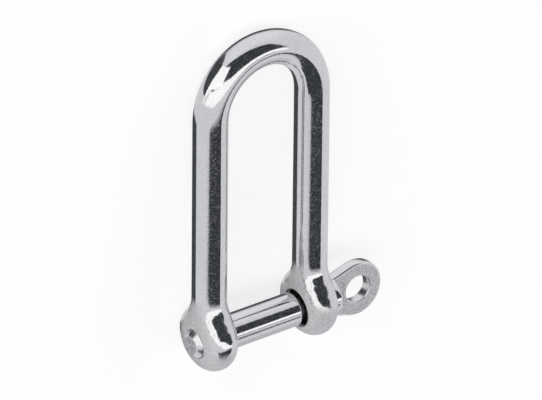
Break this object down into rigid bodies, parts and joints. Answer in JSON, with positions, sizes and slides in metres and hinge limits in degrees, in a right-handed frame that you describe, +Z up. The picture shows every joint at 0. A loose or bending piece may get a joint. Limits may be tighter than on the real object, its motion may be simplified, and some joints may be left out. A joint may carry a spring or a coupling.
{
  "type": "long shackle",
  "caption": "Long D shackle: a round bar bent to a U with a forged ear at each foot, closed by a screw pin with a flat eye. Joins rope, chain or sail fittings.",
  "frame": {"origin": "on the screw pin's axis, midway between the two legs", "axes": "+X along the pin from its tip to its eye, +Y towards the crown, +Z up with the shackle lying on its back, leaning 3.8 degrees down to the crown"},
  "size_m": [0.0394, 0.0604, 0.0128],
  "materials": {
    "bow_steel": "mirror polished stainless steel",
    "pin_steel": "mirror polished stainless steel, satin on the eye's flats"
  },
  "bodies": {
    "bow": {"bow": "bow_steel"},
    "pin": {"screw_pin": "pin_steel"}
  },
  "joints": [
    {"name": "pin_draw", "type": "slide", "parent": "bow", "child": "pin", "axis": [1, 0, 0], "range_m": [0, 0.036]}
  ]
}
